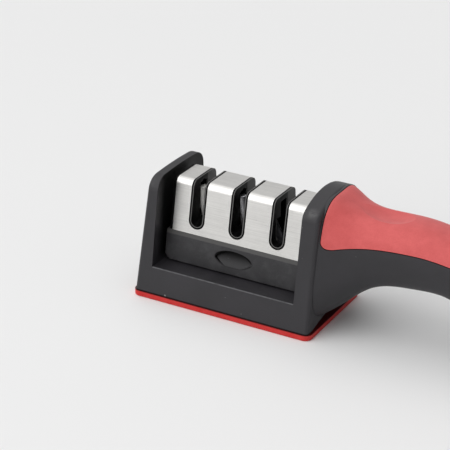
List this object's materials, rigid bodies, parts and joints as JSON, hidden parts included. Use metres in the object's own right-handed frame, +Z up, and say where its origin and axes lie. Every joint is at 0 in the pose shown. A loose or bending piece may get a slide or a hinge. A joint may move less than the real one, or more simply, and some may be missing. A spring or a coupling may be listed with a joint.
{
  "type": "pull through knife sharpener",
  "caption": "Hand-held knife sharpener: cradle with a side handle and a lift-out slotted cassette with crossed ceramic rods, crossed diamond rods and a carbide V.",
  "frame": {"origin": "on the table, under the middle of the red base pad", "axes": "+X towards the handle, +Y from front to back, +Z up"},
  "size_m": [0.205, 0.05, 0.0573],
  "materials": {
    "black_plastic": "fine satin",
    "red_rubber": "matt soft touch",
    "cover_steel": "brushed",
    "screw_steel": "plated",
    "white_ceramic": "fine matt",
    "diamond_steel": "fine grit",
    "carbide": "ground"
  },
  "bodies": {
    "base": {"housing": "black_plastic", "base_cover": "black_plastic", "base_pad": "red_rubber", "base_screws": "screw_steel", "grip": "red_rubber", "grip_carrier": "black_plastic", "handle_screws": "screw_steel"},
    "cassette": {"cassette_block": "black_plastic", "cassette_frame": "black_plastic", "steel_cover": "cover_steel", "ceramic_holder": "black_plastic", "diamond_holder": "black_plastic", "carbide_holder": "black_plastic", "ceramic_rod_left": "white_ceramic", "ceramic_rod_right": "white_ceramic", "diamond_rod_left": "diamond_steel", "diamond_rod_right": "diamond_steel", "carbide_blade_left": "carbide", "carbide_blade_right": "carbide", "blade_keeper": "black_plastic", "cassette_screws": "screw_steel"}
  },
  "joints": [
    {"name": "lift", "type": "slide", "parent": "base", "child": "cassette", "axis": [0, 0, 1], "range_m": [0, 0.046]}
  ]
}
